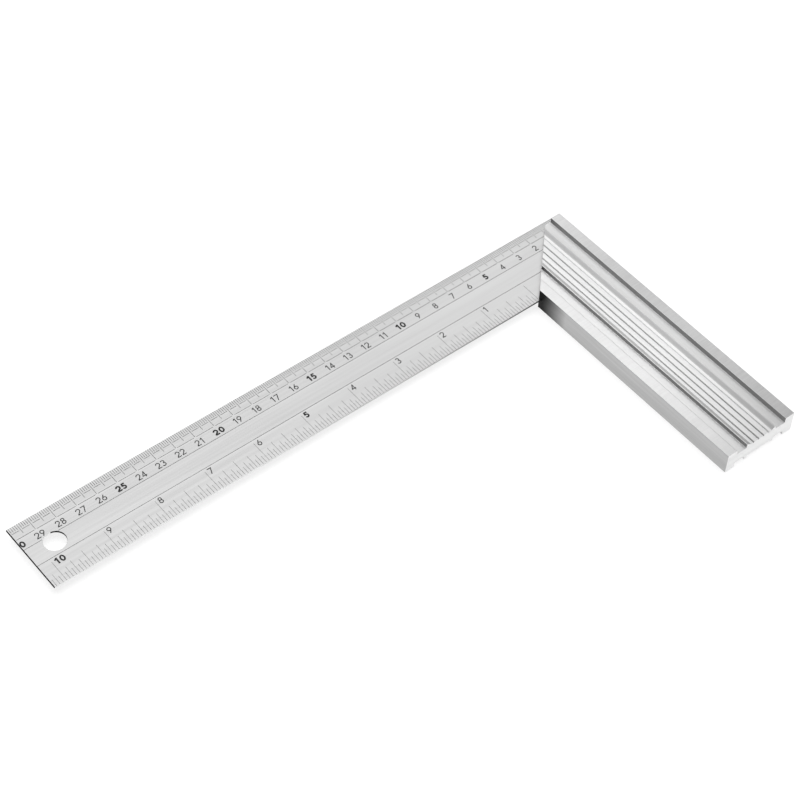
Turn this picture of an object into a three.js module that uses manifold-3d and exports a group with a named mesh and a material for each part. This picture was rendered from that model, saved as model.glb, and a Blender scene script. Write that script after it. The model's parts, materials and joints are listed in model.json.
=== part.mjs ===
// Fixed try and mitre square: a ruled steel blade set in a slot in the end of an extruded aluminium
// stock, held by rivets put in from below.
// Millimetres. +X runs along the blade to its free end, +Y along the stock away from the blade, and
// +Z is up, with the ruled face on top. The origin is the middle of the bounding box's bottom face.
import * as THREE from "three";
import { mergeVertices } from "three/addons/utils/BufferGeometryUtils.js";
import Module from "manifold-3d";

// Blade
const BLADE_LENGTH = 300;
const BLADE_WIDTH = 36;
const BLADE_THICKNESS = 1;
const BLADE_BOTTOM = 4.5; // height of its lower face
const BLADE_SET_BACK = 0.3; // its end stays this far inside the stock's outer face
const HANG_HOLE_DIAMETER = 10;
const HANG_HOLE_FROM_END = 13;
const HANG_HOLE_FROM_RULE_EDGE = 16.6;

// Stock, as a bar with a symmetric section
const STOCK_WIDTH = 40;
const STOCK_HEIGHT = 11;
const STOCK_REACH = 156; // from the blade's rule edge to the stock's far end
const BLADE_PROUD = 3.7; // the rule edge stands this far beyond the stock's square end
const SQUARE_END_WIDTH = 8.6; // what the mitre leaves of the square end
const RAIL_WIDTH = 5.4;
const CHANNEL_DEPTH = 2.6;
const RIDGE_SIDE = 11.3; // distance of a ridge's steep side from the stock's face
const RIDGE_DEPTH = 0.6; // the ridge's top lies this far below the rails
const RIDGE_TOP_WIDTH = 0.6;
const SLOPE_FOOT = 13.6; // where the ridge's slope meets the grooved middle
const MIDDLE_DEPTH = 1.75; // the grooved middle lies this far below the rails
const GROOVE_COUNT = 4;
const GROOVE_PITCH = 3.03;
const GROOVE_DEPTH = 0.6;
const GROOVE_TOP_WIDTH = 0.8;
const GROOVE_BOTTOM_WIDTH = 0.3;
const EDGE_RADIUS = 0.3;
const RAIL_EDGE_RADIUS = 0.6; // where a rail's face turns down into its channel
const FOOT_RADIUS = 0.4; // where a channel's floor meets the rail's wall and the ridge
const SLOT_CLEARANCE = 0.1; // all round the blade

// Rivets: a domed head in a channel of the underside, and a shank through the blade
const RIVET_DIAMETER = 3;
const RIVET_CLEARANCE = 0.1;
const RIVET_TOP = 7; // height where the shank ends, inside the upper web
const HEAD_DIAMETER = 4.6;
const HEAD_HEIGHT = 1.2;
const OUTER_RIVETS_FROM_SQUARE_END = [7.5, 24];
const INNER_RIVET_FROM_SQUARE_END = 28;

const ROUND_SEGMENTS = 32;
const HOLE_SEGMENTS = 64;
const OVERSHOOT = 5; // how far a cutter reaches past the material

const freeEnd = (BLADE_LENGTH + BLADE_SET_BACK) / 2;
const outerFace = -freeEnd;
const innerFace = outerFace + STOCK_WIDTH;
const farEnd = STOCK_REACH / 2;
const ruleEdge = farEnd - STOCK_REACH;
const inchEdge = ruleEdge + BLADE_WIDTH;
const squareEnd = ruleEdge + BLADE_PROUD;
const channelWidth = RIDGE_SIDE - RAIL_WIDTH;
const holeCentre = [freeEnd - HANG_HOLE_FROM_END, ruleEdge + HANG_HOLE_FROM_RULE_EDGE];
const rivetCentres = [
  ...OUTER_RIVETS_FROM_SQUARE_END.map((distance) => [
    outerFace + RAIL_WIDTH + channelWidth / 2,
    squareEnd + distance,
  ]),
  [innerFace - RAIL_WIDTH - channelWidth / 2, squareEnd + INNER_RIVET_FROM_SQUARE_END],
];

const aluminium = new THREE.MeshStandardMaterial({ color: 0xd2d3d4, roughness: 0.42, metalness: 0.85 });
const steel = new THREE.MeshStandardMaterial({ color: 0xc4c5c6, roughness: 0.38, metalness: 0.9 });
const rivetAlloy = new THREE.MeshStandardMaterial({ color: 0xb4b5b7, roughness: 0.35, metalness: 0.9 });

const wasm = await Module();
wasm.setup();

// A closed geometry as a solid that can be cut.
function solidFrom(geometry) {
  const bare = geometry.clone();
  bare.deleteAttribute("normal");
  bare.deleteAttribute("uv");
  const merged = mergeVertices(bare, 1e-4);
  return new wasm.Manifold(
    new wasm.Mesh({
      numProp: 3,
      vertProperties: merged.attributes.position.array,
      triVerts: new Uint32Array(merged.index.array),
    }),
  );
}

// A solid as a geometry with flat faces.
function geometryFrom(solid) {
  const { vertProperties, triVerts } = solid.getMesh();
  const indexed = new THREE.BufferGeometry()
    .setAttribute("position", new THREE.BufferAttribute(vertProperties, 3))
    .setIndex(new THREE.BufferAttribute(triVerts, 1));
  const flat = indexed.toNonIndexed();
  flat.computeVertexNormals();
  return flat;
}

// A closed outline through corners [x, y, radius], with each corner that has a radius rounded.
function roundedOutline(corners) {
  const shape = new THREE.Shape();
  corners.forEach(([x, y, radius = 0], i) => {
    const corner = new THREE.Vector2(x, y);
    const before = new THREE.Vector2(...corners.at(i - 1)).sub(corner).setLength(radius);
    const after = new THREE.Vector2(...corners[(i + 1) % corners.length]).sub(corner).setLength(radius);
    const start = before.add(corner);
    if (i === 0) shape.moveTo(start.x, start.y);
    else shape.lineTo(start.x, start.y);
    if (radius > 0) shape.quadraticCurveTo(x, y, x + after.x, y + after.y);
  });
  shape.closePath();
  return shape;
}

// A flat shape in X and Y made thick, from the height `bottom` up.
function plate(shape, bottom, height, curveSegments = ROUND_SEGMENTS) {
  const geometry = new THREE.ExtrudeGeometry(shape, { depth: height, bevelEnabled: false, curveSegments });
  return geometry.translate(0, 0, bottom);
}

function upright(radius, centre, bottom, height) {
  return new THREE.CylinderGeometry(radius, radius, height, ROUND_SEGMENTS)
    .rotateX(Math.PI / 2)
    .translate(centre[0], centre[1], bottom + height / 2);
}

// The stock's upper outline from face to face, as corners [across, height, radius]: a rail, a channel
// and a ridge, the grooved middle, and the same again mirrored.
function upperCorners() {
  const top = STOCK_HEIGHT;
  const channelFloor = top - CHANNEL_DEPTH;
  const ridgeTop = top - RIDGE_DEPTH;
  const middle = top - MIDDLE_DEPTH;
  const side = [
    [0, top, EDGE_RADIUS],
    [RAIL_WIDTH, top, RAIL_EDGE_RADIUS],
    [RAIL_WIDTH, channelFloor, FOOT_RADIUS],
    [RIDGE_SIDE, channelFloor, FOOT_RADIUS],
    [RIDGE_SIDE, ridgeTop, RIDGE_TOP_WIDTH / 2],
    [RIDGE_SIDE + RIDGE_TOP_WIDTH, ridgeTop, RIDGE_TOP_WIDTH / 2],
    [SLOPE_FOOT, middle, EDGE_RADIUS],
  ];
  const grooves = Array.from({ length: GROOVE_COUNT }, (_, i) => {
    const centre = STOCK_WIDTH / 2 + (i - (GROOVE_COUNT - 1) / 2) * GROOVE_PITCH;
    return [
      [centre - GROOVE_TOP_WIDTH / 2, middle],
      [centre - GROOVE_BOTTOM_WIDTH / 2, middle - GROOVE_DEPTH],
      [centre + GROOVE_BOTTOM_WIDTH / 2, middle - GROOVE_DEPTH],
      [centre + GROOVE_TOP_WIDTH / 2, middle],
    ];
  }).flat();
  const otherSide = side.map(([across, ...rest]) => [STOCK_WIDTH - across, ...rest]).reverse();
  return [...side, ...grooves, ...otherSide];
}

// The section is the upper outline and its mirror image below, extruded along the stock.
function stockBar() {
  const upper = upperCorners();
  const lower = upper.map(([across, height, radius]) => [across, STOCK_HEIGHT - height, radius]);
  const section = roundedOutline([...lower, ...upper.toReversed()]);
  const options = { depth: farEnd - squareEnd, bevelEnabled: false, curveSegments: 4 };
  return new THREE.ExtrudeGeometry(section, options)
    .rotateX(Math.PI / 2)
    .translate(outerFace, farEnd, 0);
}

// What the 45 degree mitre takes off the stock's corner beside the blade.
function mitreCutter() {
  const x = outerFace + SQUARE_END_WIDTH - OVERSHOOT;
  const y = squareEnd - OVERSHOOT;
  const reach = STOCK_WIDTH - SQUARE_END_WIDTH + 2 * OVERSHOOT;
  const triangle = new THREE.Shape()
    .moveTo(x, y)
    .lineTo(x + reach, y)
    .lineTo(x + reach, y + reach)
    .closePath();
  return plate(triangle, -OVERSHOOT, STOCK_HEIGHT + 2 * OVERSHOOT);
}

// The saw slot for the blade, open at both of the stock's faces and at its square end.
function slotCutter() {
  const width = STOCK_WIDTH + 2 * OVERSHOOT;
  const depth = BLADE_WIDTH + SLOT_CLEARANCE;
  const height = BLADE_THICKNESS + 2 * SLOT_CLEARANCE;
  return new THREE.BoxGeometry(width, depth, height).translate(
    outerFace + STOCK_WIDTH / 2,
    ruleEdge + depth / 2,
    BLADE_BOTTOM + BLADE_THICKNESS / 2,
  );
}

// A blind hole from the underside for a rivet's shank.
function rivetHoleCutter(centre) {
  const height = RIVET_TOP + RIVET_CLEARANCE + OVERSHOOT;
  return upright(RIVET_DIAMETER / 2 + RIVET_CLEARANCE, centre, -OVERSHOOT, height);
}

function makeStock() {
  const cutters = [mitreCutter(), slotCutter(), ...rivetCentres.map(rivetHoleCutter)];
  const solid = cutters.reduce((rest, cutter) => rest.subtract(solidFrom(cutter)), solidFrom(stockBar()));
  const mesh = new THREE.Mesh(geometryFrom(solid), aluminium);
  mesh.name = "stock";
  return mesh;
}

function makeBlade() {
  const setBackEnd = outerFace + BLADE_SET_BACK;
  const outline = roundedOutline([
    [setBackEnd, ruleEdge],
    [freeEnd, ruleEdge],
    [freeEnd, inchEdge],
    [setBackEnd, inchEdge],
  ]);
  const holes = [
    [holeCentre, HANG_HOLE_DIAMETER / 2],
    ...rivetCentres.map((centre) => [centre, RIVET_DIAMETER / 2 + RIVET_CLEARANCE]),
  ];
  outline.holes = holes.map(([centre, radius]) =>
    new THREE.Path().absarc(...centre, radius, 0, 2 * Math.PI, true),
  );
  const mesh = new THREE.Mesh(plate(outline, BLADE_BOTTOM, BLADE_THICKNESS, HOLE_SEGMENTS / 2), steel);
  mesh.name = "blade";
  return mesh;
}

// One rivet, turned about its own axis with the head down.
function makeRivet(centre, i) {
  const shank = RIVET_DIAMETER / 2;
  const head = HEAD_DIAMETER / 2;
  const rim = HEAD_HEIGHT / 4;
  const dome = new THREE.Path()
    .moveTo(0, -HEAD_HEIGHT)
    .quadraticCurveTo(head, -HEAD_HEIGHT, head, -rim)
    .lineTo(head, 0)
    .lineTo(shank, 0)
    .lineTo(shank, RIVET_TOP - CHANNEL_DEPTH)
    .lineTo(0, RIVET_TOP - CHANNEL_DEPTH);
  const mesh = new THREE.Mesh(new THREE.LatheGeometry(dome.getPoints(6), ROUND_SEGMENTS), rivetAlloy);
  mesh.name = `rivet_${i + 1}`;
  mesh.rotation.x = Math.PI / 2;
  mesh.position.set(centre[0], centre[1], CHANNEL_DEPTH);
  return mesh;
}

const square = new THREE.Group();
square.add(makeStock(), makeBlade(), ...rivetCentres.map(makeRivet));

export default square;
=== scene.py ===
"""Looks of a fixed try and mitre square: a ruled steel blade let into an extruded aluminium stock.

Metres, in the frame of the CAD model: +X runs along the blade to its free end, +Y along the stock
away from the blade, and the ruled face looks up, along +Z.
"""

import json
import math

import bmesh
import bpy
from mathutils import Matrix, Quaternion, Vector
from mathutils.geometry import delaunay_2d_cdt


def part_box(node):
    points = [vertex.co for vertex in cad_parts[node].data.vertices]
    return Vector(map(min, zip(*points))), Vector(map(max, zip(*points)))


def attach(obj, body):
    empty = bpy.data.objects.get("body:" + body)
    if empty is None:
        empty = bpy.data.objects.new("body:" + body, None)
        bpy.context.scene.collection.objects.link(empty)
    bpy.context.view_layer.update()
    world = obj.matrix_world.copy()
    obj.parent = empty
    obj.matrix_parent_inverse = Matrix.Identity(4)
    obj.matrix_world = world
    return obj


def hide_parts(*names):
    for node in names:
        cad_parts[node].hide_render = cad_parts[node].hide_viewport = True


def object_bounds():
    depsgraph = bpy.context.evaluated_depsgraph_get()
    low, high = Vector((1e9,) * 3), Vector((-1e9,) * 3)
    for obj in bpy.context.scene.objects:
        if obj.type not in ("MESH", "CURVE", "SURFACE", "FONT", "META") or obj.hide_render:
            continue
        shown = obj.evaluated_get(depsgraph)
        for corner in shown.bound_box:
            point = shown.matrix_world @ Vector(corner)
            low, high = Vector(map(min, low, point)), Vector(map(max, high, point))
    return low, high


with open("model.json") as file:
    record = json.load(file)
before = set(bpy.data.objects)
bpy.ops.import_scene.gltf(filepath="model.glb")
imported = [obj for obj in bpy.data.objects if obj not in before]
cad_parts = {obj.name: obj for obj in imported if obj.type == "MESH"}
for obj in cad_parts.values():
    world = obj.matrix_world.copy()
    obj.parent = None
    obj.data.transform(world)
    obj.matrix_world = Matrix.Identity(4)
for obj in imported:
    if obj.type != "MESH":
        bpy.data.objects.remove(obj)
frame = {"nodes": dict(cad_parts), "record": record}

cad_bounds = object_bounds()

MM = 0.001

# Camera, aimed at a point beside the middle of the object
CAMERA_AZIMUTH = 138.41
CAMERA_ELEVATION = 49.69
CAMERA_DISTANCE = 942.2 * MM
CAMERA_ROLL = 3.26
CAMERA_LENS = 97.9
SENSOR_WIDTH = 36
CLIP_START = 10 * MM
AIM_FROM_MIDDLE = Vector((-22.25 * MM, -34.4 * MM, 0))

# The room's light. The key's edge and core are cosines of the angle from its middle.
KEY_AZIMUTH = -35
KEY_ELEVATION = 76
KEY_EDGE = 0.72
KEY_CORE = 0.9
ROOM_GLOW = 0.4
KEY_GLOW = 1.6

# Floor, and the lamp above it, in metres
OVERHEAD_HEIGHT = 2.0
OVERHEAD_SIZE = 1.5
OVERHEAD_POWER = 8
FLOOR_REACH = 20
FLOOR_TONE = 0.45
FLOOR_GLOW = 0.68
FLOOR_ROUGHNESS = 0.9
FLOOR_SPECULAR = 0.1

# Rounding of the edges
STOCK_EDGE = 0.16 * MM
BLADE_EDGE = 0.07 * MM
SHEARED_EDGE = 0.34 * MM
HOLE_EDGE = 0.22 * MM
SHARP_ANGLE = math.radians(35)
FLAT_ANGLE = math.radians(0.5)
WELD = 0.001 * MM

# How near to the stock's outside, the blade's end or the hole's rim counts as lying on it
ON_SIDE = 0.05 * MM
ON_END = 0.01 * MM
ON_RIM = 0.1 * MM

# How much of a face's normal points along an axis, for the finish and painted shade that the face takes
WALL_UPRIGHT = 0.85
RAIL_LEVEL = 0.9
BLADE_LEVEL = 0.95
DIAGONAL = 0.5
SLANTED = 0.2

# How far in from a side of the stock a channel's walls and finish reach, and its slopes begin
CHANNEL_REACH = 13.4 * MM
SLOPES_FROM_SIDE = 11.4 * MM

# The groove beside the outer channel, which is fainter than the others
FAINT_GROOVE_AT = 15.45 * MM
FAINT_GROOVE_HALF = 0.7 * MM

# Dark shade painted where stock and blade meet, by distance from the blade or from the mitre
JOINT_SHADE_FROM = 1.5 * MM
JOINT_SHADE_TO = 17 * MM
JOINT_SHADE_TONE = 0.01
WALL_SHADE_TO = 8 * MM
WALL_SHADE_TONE = 0.03
# Painted shade on the blade's long edges and its end in the slot, a reflection of the dark stock
INCH_EDGE_SHADE_TO = 160 * MM
INCH_EDGE_SHADE_TONE = 0.04

# Painted shade and light along the stock and the blade, as slow changes of tone
FAR_END_FADE_FROM = 60 * MM
FAR_END_TONE = 0.74
BLADE_FADE_TO = 80 * MM
BLADE_TONE = 0.91
RAIL_FADE_TO = 46 * MM
RAIL_TONE = 0.8

# Brush marks, by how fast they change along each axis, in waves a metre
ALONG_X = (25, 3000, 3000)
ALONG_Y = (3000, 25, 3000)
ACROSS_END = (60, 60, 2600)
ACROSS_RAIL = (300, 6000, 300)
ACROSS_BLADE_END = (900, 900, 200)
ACROSS_BLADE_EDGE = (200, 900, 900)
ALL_WAYS = (900, 900, 900)
BRUSH_DEPTH = 0.02 * MM
GROUND_DEPTH = 0.01 * MM
BUMP_STRENGTH = 0.5
ROUGHNESS_SWING = 0.06
COARSE_SHARE = 0.23

# Waves a metre of the metal's clouds and specks and of the marks' filling, and the stretch of each
# noise that is used. The streaks add two noises up.
STREAK_RANGE = (0.7, 1.3)
CLOUD_WAVES = 60
CLOUD_RANGE = (0.35, 0.65)
CLOUD_TONE = 0.06
SPECK_WAVES = 1500
SPECK_RANGE = (0.66, 0.78)
SPECK_TONE = 0.35
PAINT_WAVES = 2500
PAINT_RANGE = (0.3, 0.7)

# Graduations. Distances across the blade are from its millimetre edge, or for inches from the other.
MARK_THICKNESS = 0.02 * MM
MARK_SINK = 0.01 * MM
TICK_WIDTH = 0.17 * MM
INCH_TICK_WIDTH = 0.12 * MM
LINE_WIDTH = 0.18 * MM
CENTIMETRES = 30
MILLIMETRE_TICKS = {10: 6.8 * MM, 5: 5.4 * MM, 1: 2.7 * MM}  # by the step that has this length
SHORT_DASH = 3.5 * MM
SHORT_DASH_ACROSS = 3.4 * MM
LONG_DASH = 8.8 * MM
LONG_DASH_ACROSS = 6.9 * MM
CM_LINE_ACROSS = 13.0 * MM
INCH_LINE_ACROSS = 23.05 * MM
INCH = 25.4 * MM
INCH_ZERO = 40 * MM
INCH_PARTS = 16
INCH_TICKS = {16: 11.3 * MM, 8: 8.7 * MM, 4: 7.4 * MM, 2: 5.8 * MM, 1: 3.9 * MM}
LAST_INCH_NUMERAL = 10
TICKS_AFTER_LAST_INCH = 3
HOLE_RADIUS = 5 * MM
LINE_GAP_AT_HOLE = 0.3 * MM

# Numerals. Strokes, digits and gaps are shares of the height, and every fifth number is bold.
CM_NUMERAL_HEIGHT = 3.3 * MM
CM_NUMERAL_ACROSS = 10.15 * MM
INCH_NUMERAL_HEIGHT = 3.3 * MM
INCH_NUMERAL_ACROSS = 25.6 * MM
INCH_NUMERAL_FROM_TICK = 1.2 * MM
FIRST_CM_NUMERAL = 2
PLAIN_STROKE = 0.125
BOLD_STROKE = 0.225
DIGIT_WIDTH = 0.5
ONE_WIDTH = 0.34
DIGIT_GAP = 0.14
SHARPEST_MITRE = 0.35
SAME_POINT = 1e-6

# Joining of flat polygons, in millimetres
JOIN_WITHIN = 1e-5
INSIDE_ONLY = 1


# Solids from flat outlines


def turned_area(polygon):
    """A flat polygon's area, which is negative where its corners run clockwise."""
    pairs = zip(polygon, polygon[1:] + polygon[:1])
    return sum(a[0] * b[1] - b[0] * a[1] for a, b in pairs) / 2


def union_of(polygons):
    """The area that flat polygons in millimetres cover together, as points and triangles."""
    points = []
    faces = []
    for polygon in polygons:
        corners = polygon if turned_area(polygon) > 0 else polygon[::-1]
        faces.append(list(range(len(points), len(points) + len(corners))))
        points += [Vector(corner) for corner in corners]
    made = delaunay_2d_cdt(points, [], faces, INSIDE_ONLY, JOIN_WITHIN, True)
    corners, triangles, covered_by = made[0], made[2], made[5]
    return corners, [t for t, owners in zip(triangles, covered_by) if owners]


def add_thin_solid(bm, polygons, bottom, thickness):
    """Adds a closed solid over flat polygons, which may overlap each other."""
    corners, triangles = union_of([[(x / MM, y / MM) for x, y in polygon] for polygon in polygons])
    layers = [
        [bm.verts.new((c.x * MM, c.y * MM, height)) for c in corners]
        for height in (bottom, bottom + thickness)
    ]
    edges = set()
    for a, b, c in triangles:
        bm.faces.new((layers[1][a], layers[1][b], layers[1][c]))
        bm.faces.new((layers[0][c], layers[0][b], layers[0][a]))
        edges.update(((a, b), (b, c), (c, a)))
    for a, b in edges:
        if (b, a) not in edges:
            bm.faces.new((layers[0][a], layers[0][b], layers[1][b], layers[1][a]))


def piece_from(bm, name, materials):
    """A new object of a finished mesh, with these materials in its slots."""
    mesh = bpy.data.meshes.new(name)
    bm.to_mesh(mesh)
    bm.free()
    for material in materials:
        mesh.materials.append(material)
    made = bpy.data.objects.new(name, mesh)
    bpy.context.scene.collection.objects.link(made)
    return made


# Numerals


def arc(centre, radius, start, end, steps=20):
    """Points on an arc from one angle to another, in degrees. radius is one number, or one each way."""
    across, up = radius if isinstance(radius, tuple) else (radius, radius)
    angles = [math.radians(start + (end - start) * i / steps) for i in range(steps + 1)]
    return [(centre[0] + across * math.cos(a), centre[1] + up * math.sin(a)) for a in angles]


def digit_width(digit, stroke):
    """How wide a digit is that is one high. A bold one is wider, so that its bowls stay open."""
    return (ONE_WIDTH if digit == "1" else DIGIT_WIDTH) + stroke


def digit_strokes(stroke):
    """The middle lines of the ten digits, each in a box one high, for a pen of this width."""
    width = digit_width("0", stroke)
    stem = 0.26 + stroke / 2
    low = stroke / 2
    high = 1 - stroke / 2
    left = stroke / 2
    right = width - stroke / 2
    middle = width / 2
    bowl = (right - left) / 2
    small_bowl = (high - low) * 0.235
    big_bowl = (high - low) * 0.265
    six = [
        arc((middle, low + bowl), bowl, 0, 360, 32),
        [(left + bowl * 0.12, low + bowl * 1.45), (0.44, high + 0.02)],
    ]
    return {
        "0": [arc((middle, 0.5), (bowl, high - 0.5), 0, 360, 32)],
        "1": [[(0.06, high - 0.2), (stem - stroke / 4, high), (stem, high)], [(stem, 1), (stem, 0)]],
        "2": [
            arc((middle, high - bowl), bowl, 172, -38) + [(left, low)],
            [(left - 0.02, low), (width, low)],
        ],
        "3": [
            arc((0.29, high - small_bowl), (bowl * 0.9, small_bowl), 150, -90),
            arc((0.29, low + big_bowl), (bowl * 1.05, big_bowl), 90, -150),
        ],
        "4": [[(0.66, 0.28), (left, 0.28), (0.46, high)], [(0.46, 1), (0.46, 0)]],
        "5": [
            [(0.56, high), (0.17, high), (0.1, 0.46)],
            arc((0.28, low + big_bowl * 1.12), big_bowl * 1.12, 128, -155),
        ],
        "6": six,
        "7": [[(0.02, high), (0.6, high), (0.22, 0)]],
        "8": [
            arc((middle, high - small_bowl), small_bowl, 0, 360, 28),
            arc((middle, low + big_bowl), big_bowl, 0, 360, 32),
        ],
        "9": [[(width - x, 1 - y) for x, y in stroke_line] for stroke_line in six],
    }


def ribbon(line, width):
    """Quads along a line of points, with mitred corners, which join up where the line is closed."""
    closed = math.dist(line[0], line[-1]) < SAME_POINT
    points = [Vector(p) for p in (line[:-1] if closed else line)]
    count = len(points)
    sides = []
    for i, point in enumerate(points):
        before = points[i - 1] if closed or i > 0 else None
        after = points[(i + 1) % count] if closed or i < count - 1 else None
        ways = [(point - before).normalized()] if before is not None else []
        ways += [(after - point).normalized()] if after is not None else []
        along = sum(ways, Vector((0, 0))).normalized()
        normal = Vector((-along.y, along.x))
        reach = width / 2 / max(SHARPEST_MITRE, along.dot(ways[0]))
        sides.append((point + normal * reach, point - normal * reach))
    spans = range(count if closed else count - 1)
    return [
        (sides[i][0], sides[i][1], sides[(i + 1) % count][1], sides[(i + 1) % count][0]) for i in spans
    ]


def stroke_for(text):
    """How wide the strokes of a number are."""
    return BOLD_STROKE if text.endswith(("0", "5")) else PLAIN_STROKE


def number_width(text):
    """How wide a number is that is one high."""
    stroke = stroke_for(text)
    return sum(digit_width(digit, stroke) for digit in text) + DIGIT_GAP * (len(text) - 1)


def number_quads(text, height):
    """A number's quads, centred on the origin, with x to the reader's right."""
    stroke = stroke_for(text)
    strokes = digit_strokes(stroke)
    quads = []
    shift = Vector((-number_width(text) / 2, -0.5))
    for digit in text:
        for line in strokes[digit]:
            quads += [[(p + shift) * height for p in quad] for quad in ribbon(line, stroke)]
        shift.x += digit_width(digit, stroke) + DIGIT_GAP
    return quads


# The frame's sizes that the scale is laid out from
blade_low, blade_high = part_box("blade")
stock_low, stock_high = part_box("stock")
mark_bottom = blade_high.z - MARK_SINK
mark_height = MARK_THICKNESS + MARK_SINK


def on_blade(along, across):
    """A point on the blade, by its distances from the scale's zero and the millimetre edge."""
    return (blade_low.x + along, blade_low.y + across)


def bar(along_from, along_to, across_from, across_to):
    """A rectangle on the blade, by the same two distances."""
    return [
        on_blade(along_from, across_from),
        on_blade(along_to, across_from),
        on_blade(along_to, across_to),
        on_blade(along_from, across_to),
    ]


def longest_fitting(count, lengths):
    """The length for the largest step that divides a tick's count."""
    return lengths[max(step for step in lengths if count % step == 0)]


def millimetre_ticks():
    return [
        bar(i * MM - TICK_WIDTH / 2, i * MM + TICK_WIDTH / 2, 0, longest_fitting(i, MILLIMETRE_TICKS))
        for i in range(1, 10 * CENTIMETRES)
    ]


def dashes(step, length, across):
    """A broken line with a dash between each tick and the next."""
    count = round(CENTIMETRES * 10 * MM / step)
    middles = [(i + 0.5) * step for i in range(count)]
    half = LINE_WIDTH / 2
    return [bar(m - length / 2, m + length / 2, across - half, across + half) for m in middles]


def full_line(across, gap=None):
    """A line along the whole blade, left out from gap[0] to gap[1] where there is a gap."""
    length = blade_high.x - blade_low.x
    half = LINE_WIDTH / 2
    stretches = [(0, length)] if gap is None else [(0, gap[0]), (gap[1], length)]
    return [bar(a, b, across - half, across + half) for a, b in stretches]


def inch_ticks():
    width = blade_high.y - blade_low.y
    ticks = []
    for i in range(LAST_INCH_NUMERAL * INCH_PARTS + TICKS_AFTER_LAST_INCH + 1):
        middle = INCH_ZERO + i * INCH / INCH_PARTS
        length = longest_fitting(i, INCH_TICKS)
        half = INCH_TICK_WIDTH / 2
        ticks.append(bar(middle - half, middle + half, width - length, width))
    return ticks


def numeral_polygons(text, along, across, height):
    """A number that reads with the millimetre edge at its top."""
    middle = Vector(on_blade(along, across))
    quads = number_quads(text, height)
    return [[middle - corner for corner in quad] for quad in quads]


def centimetre_numerals():
    """The polygons of each number."""
    places = [(str(number), number * 10 * MM) for number in range(FIRST_CM_NUMERAL, CENTIMETRES)]
    last_zero = CENTIMETRES * 10 * MM - number_width("0") / 2 * CM_NUMERAL_HEIGHT - SHEARED_EDGE
    return [
        numeral_polygons(text, along, CM_NUMERAL_ACROSS, CM_NUMERAL_HEIGHT)
        for text, along in [*places, ("0", last_zero)]
    ]


def inch_numerals():
    """The polygons of each number."""
    groups = []
    for number in range(1, LAST_INCH_NUMERAL + 1):
        text = str(number)
        half = number_width(text) * INCH_NUMERAL_HEIGHT / 2
        along = INCH_ZERO + number * INCH - INCH_NUMERAL_FROM_TICK - half
        groups.append(numeral_polygons(text, along, INCH_NUMERAL_ACROSS, INCH_NUMERAL_HEIGHT))
    return groups


def hanging_hole():
    """The hole's middle, from its opening in the record."""
    openings = frame["record"]["physics"]["openings"]
    low, high = next(o["box_m"] for o in openings if o["name"] == "hanging_hole")
    return (Vector(low) + Vector(high)) / 2


def gap_at_hole():
    """Where the centimetres' full line stops and starts again beside the hanging hole."""
    hole = hanging_hole()
    along = hole.x - blade_low.x
    drop = hole.y - blade_low.y - CM_LINE_ACROSS
    half = math.sqrt(HOLE_RADIUS**2 - drop**2) + LINE_GAP_AT_HOLE
    return (along - half, along + half)


def scale_parts():
    """The scale's pieces, each as groups of polygons. What overlaps within a group is joined up."""
    short = dashes(5 * MM, SHORT_DASH, SHORT_DASH_ACROSS)
    long = dashes(10 * MM, LONG_DASH, LONG_DASH_ACROSS)
    return {
        "scale_millimetre_ticks": [millimetre_ticks()],
        "scale_dashes": [short + long],
        "scale_lines": [full_line(CM_LINE_ACROSS, gap_at_hole()) + full_line(INCH_LINE_ACROSS)],
        "scale_inch_ticks": [inch_ticks()],
        "numerals_centimetre": centimetre_numerals(),
        "numerals_inch": inch_numerals(),
    }


def make_scale(material):
    for name, groups in scale_parts().items():
        bm = bmesh.new()
        for polygons in groups:
            add_thin_solid(bm, polygons, mark_bottom, mark_height)
        bmesh.ops.delete(bm, geom=[v for v in bm.verts if not v.link_faces], context="VERTS")
        bmesh.ops.recalc_face_normals(bm, faces=bm.faces)
        made = piece_from(bm, name, [material])
        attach(made, "root")


# Materials


def add_node(tree, kind, inputs=None, **settings):
    """A new node, with its inputs set to numbers or linked from other nodes' outputs."""
    made = tree.nodes.new(kind)
    for key, value in settings.items():
        setattr(made, key, value)
    for key, value in (inputs or {}).items():
        socket = made.inputs[key]
        if isinstance(value, bpy.types.NodeSocket):
            tree.links.new(value, socket)
        else:
            socket.default_value = value
    return made


def noise(tree, vector, scale, detail=2.0, roughness=0.5):
    """Noise from 0 to 1, stretched by a scale for each axis, in waves a metre."""
    mapped = add_node(tree, "ShaderNodeMapping", {"Vector": vector, "Scale": scale})
    inputs = {"Vector": mapped.outputs[0], "Scale": 1.0, "Detail": detail, "Roughness": roughness}
    return add_node(tree, "ShaderNodeTexNoise", inputs).outputs["Fac"]


def remap(tree, value, from_low, from_high, to_low, to_high, curve="LINEAR"):
    """A value brought from one range to another, and kept inside that."""
    inputs = {"Value": value, 1: from_low, 2: from_high, 3: to_low, 4: to_high}
    return add_node(tree, "ShaderNodeMapRange", inputs, interpolation_type=curve).outputs[0]


def mixed_colour(tree, factor, first, second, blend="MIX"):
    """Two colours mixed. The mix node's sockets 6 and 7 and its output 2 are those for colours."""
    inputs = {0: factor, 6: first, 7: second}
    return add_node(tree, "ShaderNodeMix", inputs, data_type="RGBA", blend_type=blend).outputs[2]


def grey(value):
    return (value, value, value, 1)


def new_material(name):
    """A plain material and its surface shader."""
    material = bpy.data.materials.new(name)
    material.use_nodes = True
    return material, material.node_tree.nodes["Principled BSDF"]


def place_on_piece(tree):
    return add_node(tree, "ShaderNodeTexCoord").outputs["Object"]


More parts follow.
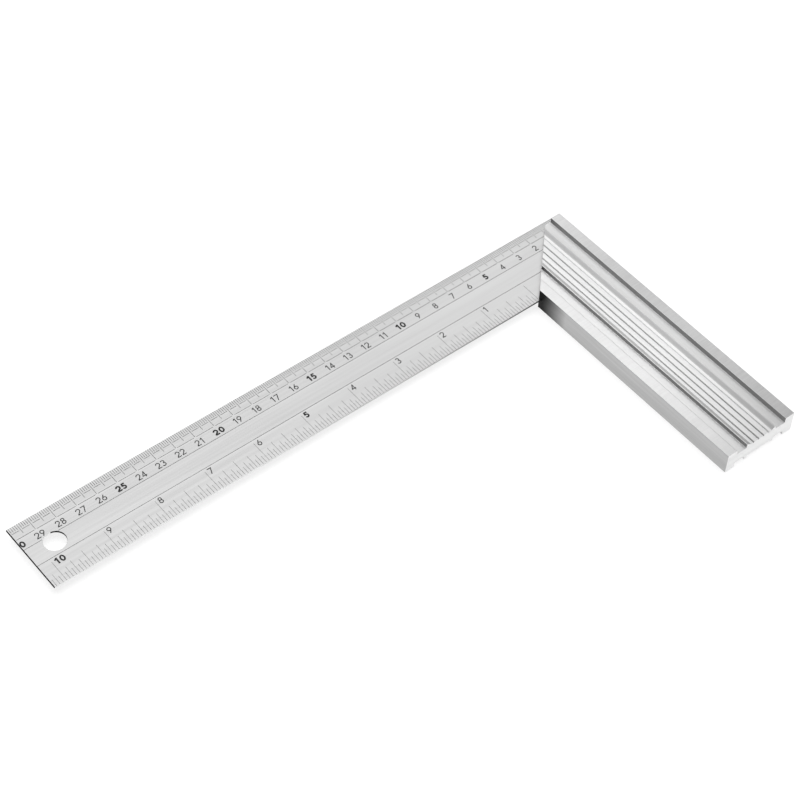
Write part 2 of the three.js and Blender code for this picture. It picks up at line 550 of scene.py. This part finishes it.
def fade(along, start, stop, tone, power=1.0):
    """A shade for metal: its tone rises from the given one at start to 1 at stop, and power bends the
    rise. start and stop are distances from the origin in the direction along."""

    def toned(tree, where):
        inputs = {0: where, 1: along}
        place = add_node(tree, "ShaderNodeVectorMath", inputs, operation="DOT_PRODUCT").outputs["Value"]
        way = remap(tree, place, start, stop, 0.0, 1.0)
        curved = add_node(tree, "ShaderNodeMath", {0: way, 1: power}, operation="POWER").outputs[0]
        return remap(tree, curved, 0.0, 1.0, tone, 1.0)

    return toned


def metal(name, dark, light, roughness, grain, depth=BRUSH_DEPTH, metallic=1.0, shades=()):
    """Brushed metal. dark and light are the limits of its grey, and grain how fast the brush marks
    change along each axis, in waves a metre. shades are painted shade that darkens it from place to
    place."""
    material, shader = new_material(name)
    tree = material.node_tree
    where = place_on_piece(tree)
    fine = noise(tree, where, grain, 4.0, 0.65)
    coarse = noise(tree, where, [g * COARSE_SHARE for g in grain])
    cloud = noise(tree, where, (CLOUD_WAVES,) * 3)
    speck = noise(tree, where, (SPECK_WAVES,) * 3, 1.0)
    streaks = add_node(tree, "ShaderNodeMath", {0: fine, 1: coarse}, operation="ADD").outputs[0]
    tone = remap(tree, streaks, *STREAK_RANGE, 0.0, 1.0)
    colour = mixed_colour(tree, tone, grey(dark), grey(light))
    clouded = remap(tree, cloud, *CLOUD_RANGE, 0.0, CLOUD_TONE)
    specked = remap(tree, speck, *SPECK_RANGE, 0.0, SPECK_TONE)
    for amount in (clouded, specked):
        colour = mixed_colour(tree, amount, colour, grey(dark))
    for shade in shades:
        colour = mixed_colour(tree, 1.0, colour, shade(tree, where), "MULTIPLY")
    tree.links.new(colour, shader.inputs["Base Color"])
    shader.inputs["Metallic"].default_value = metallic
    swing = (roughness + ROUGHNESS_SWING, roughness - ROUGHNESS_SWING)
    tree.links.new(remap(tree, streaks, *STREAK_RANGE, *swing), shader.inputs["Roughness"])
    inputs = {"Height": streaks, "Distance": depth, "Strength": BUMP_STRENGTH}
    tree.links.new(add_node(tree, "ShaderNodeBump", inputs).outputs[0], shader.inputs["Normal"])
    return material


def mark_paint():
    """The dark filling of the graduations and numerals."""
    material, shader = new_material("scale_filling")
    tree = material.node_tree
    grain = noise(tree, place_on_piece(tree), (PAINT_WAVES,) * 3)
    tone = remap(tree, grain, *PAINT_RANGE, 0.0, 1.0)
    tree.links.new(mixed_colour(tree, tone, grey(0.004), grey(0.02)), shader.inputs["Base Color"])
    tree.links.new(remap(tree, grain, *PAINT_RANGE, 0.5, 0.7), shader.inputs["Roughness"])
    return material


def pale_floor():
    """A matt floor with a glow of its own, which keeps it paler than the object."""
    material, shader = new_material("pale_floor")
    shader.inputs["Base Color"].default_value = grey(FLOOR_TONE)
    shader.inputs["Emission Color"].default_value = grey(1.0)
    shader.inputs["Emission Strength"].default_value = FLOOR_GLOW
    shader.inputs["Roughness"].default_value = FLOOR_ROUGHNESS
    shader.inputs["Specular IOR Level"].default_value = FLOOR_SPECULAR
    return material


def mitre():
    """The direction into the stock from its mitre, and how far along that the mitre lies."""
    mount = next(m for m in frame["record"]["mounts"] if m["name"] == "mitre_face")
    inwards = -Vector(mount["axis"])
    return inwards, inwards.dot(Vector(mount["pos_m"]))


# Shades and fades, painted shade and light in the metals' colours
BLADE_WAY = Vector((1, 0, 0))
STOCK_WAY = Vector((0, 1, 0))
into_mitre, mitre_at = mitre()

joint_start = blade_high.y + JOINT_SHADE_FROM
joint_stop = blade_high.y + JOINT_SHADE_TO
joint_shade = fade(STOCK_WAY, joint_start, joint_stop, JOINT_SHADE_TONE, power=1.4)
wall_shade = fade(into_mitre, mitre_at, mitre_at + WALL_SHADE_TO, WALL_SHADE_TONE, power=0.7)
inch_edge_stop = stock_high.x + INCH_EDGE_SHADE_TO
inch_edge_shade = fade(BLADE_WAY, stock_high.x, inch_edge_stop, INCH_EDGE_SHADE_TONE, power=0.75)
# Painted light: the blade is lighter towards the stock
blade_painted_light = fade(BLADE_WAY, stock_high.x + BLADE_FADE_TO, stock_high.x, BLADE_TONE)
# Painted shade: the outer rail darkens away from the blade
rail_painted_shade = fade(STOCK_WAY, stock_low.y + RAIL_FADE_TO, stock_low.y, RAIL_TONE)
# Painted shade: the stock darkens towards its far end
far_end_stop = stock_high.y - FAR_END_FADE_FROM
far_end_painted_shade = fade(STOCK_WAY, stock_high.y, far_end_stop, FAR_END_TONE, power=0.7)

# The stock's finishes, from its long hollows and lands to its ends and edges, some darkened as painted
# shade
extruded = metal(
    "aluminium_extruded", 0.93, 0.99, 0.4, ALONG_Y, metallic=0.35, shades=(far_end_painted_shade,)
)
# Painted shade: the outer channel is greyer than the lands for the weaker light on the outer half
outer_channel = metal(
    "aluminium_outer_channel", 0.86, 0.93, 0.45, ALONG_Y, metallic=0.1, shades=(far_end_painted_shade,)
)
# Painted shade: the slopes and groove walls are a darker grey than the lands, for how light falls on
# their tilt
recess_slope = metal(
    "aluminium_recess_slope", 0.62, 0.70, 0.4, ALONG_Y, metallic=0.35, shades=(far_end_painted_shade,)
)
# Painted shade: the channels' walls are a dark grey for the shade in the recesses, darker still at the
# mitre
recess_wall = metal(
    "aluminium_recess_wall", 0.29, 0.36, 0.45, ALONG_Y, metallic=0.3, shades=(wall_shade,)
)
# Painted shade: the upright sides are a darker grey than the lands, for the light they face
# The inner side is painted nearly black beside the blade, a painted reflection of the shade under it
inner_side = metal("aluminium_inner_side", 0.43, 0.50, 0.4, ALONG_Y, shades=(joint_shade,))
outer_side = metal("aluminium_outer_side", 0.43, 0.50, 0.4, ALONG_Y)
# Painted shade: the outer rail is a darker grey than the inner one, for the weaker light on the outer
# half
rail_fades = (far_end_painted_shade, rail_painted_shade)
outer_rail = metal(
    "aluminium_outer_rail", 0.71, 0.81, 0.42, ACROSS_RAIL, metallic=0.5, shades=rail_fades
)
inner_rail = metal(
    "aluminium_inner_rail", 0.84, 0.90, 0.4, ACROSS_RAIL, metallic=0.5, shades=(far_end_painted_shade,)
)
sawn = metal("aluminium_sawn", 0.86, 0.94, 0.5, ACROSS_END, metallic=0.5)
worn_edge = metal("aluminium_worn_edge", 0.60, 0.68, 0.3, ALONG_Y)

# The blade's and the rivets'. Nothing shines on the sheared end, which is painted nearly black as
# painted shade.
# Painted light on the ground steel: it is lighter towards the stock
ground = metal("steel_ground", 0.60, 0.62, 0.38, ALONG_X, GROUND_DEPTH, shades=(blade_painted_light,))
sheared = metal("steel_sheared_end", 0.002, 0.008, 0.5, ACROSS_BLADE_END, metallic=0.0)
sheared.node_tree.nodes["Principled BSDF"].inputs["Specular IOR Level"].default_value = 0.0
# Painted shade: the blade's long edges and slotted end darken towards the stock, a painted reflection
# of it
slit_edge = metal("steel_slit_edge", 0.72, 0.82, 0.45, ACROSS_BLADE_EDGE, shades=(inch_edge_shade,))
formed = metal("rivet_formed", 0.6, 0.75, 0.35, ALL_WAYS)


# Pieces


def node_shape(node):
    """The node's mesh, with its flat faces joined up so that its edges can be rounded."""
    bm = bmesh.new()
    bm.from_mesh(frame["nodes"][node].data)
    bmesh.ops.remove_doubles(bm, verts=bm.verts, dist=WELD)
    bmesh.ops.dissolve_limit(bm, angle_limit=FLAT_ANGLE, verts=bm.verts, edges=bm.edges)
    return bm


def round_edges(bm, width, chosen=lambda edge: True):
    """Rounds the chosen ones of the sharp edges, and returns the new faces."""
    bm.normal_update()
    paired = [e for e in bm.edges if len(e.link_faces) == 2]
    sharp = [e for e in paired if e.calc_face_angle() > SHARP_ANGLE and chosen(e)]
    made = bmesh.ops.bevel(
        bm, geom=sharp, offset=width, segments=2, profile=0.5, affect="EDGES", clamp_overlap=True
    )
    return made["faces"]


def smooth(piece):
    """Shades the rounded edges smoothly, with the flat faces still flat."""
    for polygon in piece.data.polygons:
        polygon.use_smooth = True
    piece.modifiers.new("even_normals", "WEIGHTED_NORMAL")


def stock_finish(face, rounded):
    """The material of one of the stock's faces, by where it lies and which way it faces."""
    centre = face.calc_center_median()
    across, along, up = (abs(part) for part in face.normal)
    from_outside = centre.x - stock_low.x
    from_side = min(from_outside, stock_high.x - centre.x)
    outer_half = centre.x < (stock_low.x + stock_high.x) / 2
    upper_half = centre.z > (stock_low.z + stock_high.z) / 2
    on_rail = min(centre.z - stock_low.z, stock_high.z - centre.z) < ON_SIDE
    in_faint_groove = abs(from_outside - FAINT_GROOVE_AT) < FAINT_GROOVE_HALF
    if rounded and along > SLANTED:
        return worn_edge
    if on_rail and up > RAIL_LEVEL:
        return outer_rail if outer_half else inner_rail
    if along > DIAGONAL > up:
        return sawn
    if across > SLANTED and from_side > SLOPES_FROM_SIDE and not in_faint_groove:
        return recess_slope
    if across > WALL_UPRIGHT and from_side < ON_SIDE:
        return outer_side if outer_half else inner_side
    if across > WALL_UPRIGHT and from_side < CHANNEL_REACH and upper_half:
        return recess_wall
    return outer_channel if from_outside < CHANNEL_REACH else extruded


def make_stock():
    bm = node_shape("stock")
    rounded = set(round_edges(bm, STOCK_EDGE))
    bm.normal_update()
    finishes = [extruded, outer_rail, inner_rail, sawn, worn_edge]
    finishes += [recess_wall, inner_side, outer_channel, recess_slope, outer_side]
    for face in bm.faces:
        face.material_index = finishes.index(stock_finish(face, face in rounded))
    stock = piece_from(bm, "stock_body", finishes)
    smooth(stock)
    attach(stock, "root")
    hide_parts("stock")


def at_free_end(edge):
    """Whether an edge runs across the blade's free end."""
    first, second = (v.co for v in edge.verts)
    level = abs(first.z - second.z) < ON_END
    return level and blade_high.x - min(first.x, second.x) < ON_END


def on_hole_rim(edge):
    """Whether an edge lies on the rim of the hanging hole."""
    hole = hanging_hole()
    return all(math.dist(v.co.xy, hole.xy) < HOLE_RADIUS + ON_RIM for v in edge.verts)


def blade_finish(face):
    """The material of one of the blade's faces: the free end's, the other edges' or the flat's."""
    if abs(face.normal.z) >= BLADE_LEVEL:
        return ground
    return sheared if face.normal.x > SLANTED else slit_edge


def make_blade():
    bm = node_shape("blade")
    round_edges(bm, SHEARED_EDGE, at_free_end)
    round_edges(bm, HOLE_EDGE, on_hole_rim)
    round_edges(bm, BLADE_EDGE)
    bmesh.ops.remove_doubles(bm, verts=bm.verts, dist=WELD)
    bm.normal_update()
    finishes = [ground, sheared, slit_edge]
    for face in bm.faces:
        face.material_index = finishes.index(blade_finish(face))
    blade = piece_from(bm, "blade_rule", finishes)
    smooth(blade)
    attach(blade, "root")
    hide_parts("blade")


def make_rivets():
    for name in sorted(n for n in frame["nodes"] if n.startswith("rivet_")):
        node = frame["nodes"][name]
        node.data.materials.clear()
        node.data.materials.append(formed)


# Surroundings


def make_floor():
    bm = bmesh.new()
    bmesh.ops.create_grid(bm, x_segments=1, y_segments=1, size=FLOOR_REACH)
    floor = piece_from(bm, "floor", [pale_floor()])
    floor.location.z = cad_bounds[0].z
    return floor


def make_floor_lamp(floor):
    """A square lamp overhead that lights only the floor."""
    data = bpy.data.lights.new("overhead", "AREA")
    data.shape = "SQUARE"
    data.size = OVERHEAD_SIZE
    data.energy = OVERHEAD_POWER
    lamp = bpy.data.objects.new("overhead", data)
    bpy.context.scene.collection.objects.link(lamp)
    lamp.location.z = OVERHEAD_HEIGHT
    lamp.visible_camera = False
    group = bpy.data.collections.new("overhead_lights")
    group.objects.link(floor)
    lamp.light_linking.receiver_collection = group


def direction(azimuth, elevation):
    """The way from the object to something at this azimuth and elevation, in degrees."""
    a, e = math.radians(azimuth), math.radians(elevation)
    return Vector((math.sin(a) * math.cos(e), -math.cos(a) * math.cos(e), math.sin(e)))


def make_world():
    """A dim room that brightens smoothly towards a wide key light."""
    world = bpy.data.worlds.new("studio")
    bpy.context.scene.world = world
    world.use_nodes = True
    tree = world.node_tree
    where = add_node(tree, "ShaderNodeTexCoord").outputs["Generated"]
    towards = {0: where, 1: direction(KEY_AZIMUTH, KEY_ELEVATION)}
    near = add_node(tree, "ShaderNodeVectorMath", towards, operation="DOT_PRODUCT").outputs["Value"]
    glow = remap(tree, near, KEY_EDGE, KEY_CORE, ROOM_GLOW, KEY_GLOW, "SMOOTHSTEP")
    tree.links.new(glow, tree.nodes["Background"].inputs["Strength"])
    tree.nodes["Background"].inputs["Color"].default_value = grey(1)


def make_camera():
    data = bpy.data.cameras.new("camera")
    data.lens = CAMERA_LENS
    data.sensor_width = SENSOR_WIDTH
    data.clip_start = CLIP_START
    camera = bpy.data.objects.new("camera", data)
    bpy.context.scene.collection.objects.link(camera)
    back = direction(CAMERA_AZIMUTH, CAMERA_ELEVATION)
    aim = (cad_bounds[0] + cad_bounds[1]) / 2 + AIM_FROM_MIDDLE
    camera.location = aim + back * CAMERA_DISTANCE
    camera.rotation_mode = "QUATERNION"
    roll = Quaternion((0, 0, 1), math.radians(CAMERA_ROLL))
    camera.rotation_quaternion = (-back).to_track_quat("-Z", "Y") @ roll
    bpy.context.scene.camera = camera


make_stock()
make_blade()
make_rivets()
make_scale(mark_paint())
make_floor_lamp(make_floor())
make_world()
make_camera()
bpy.context.scene.view_settings.view_transform = "Standard"
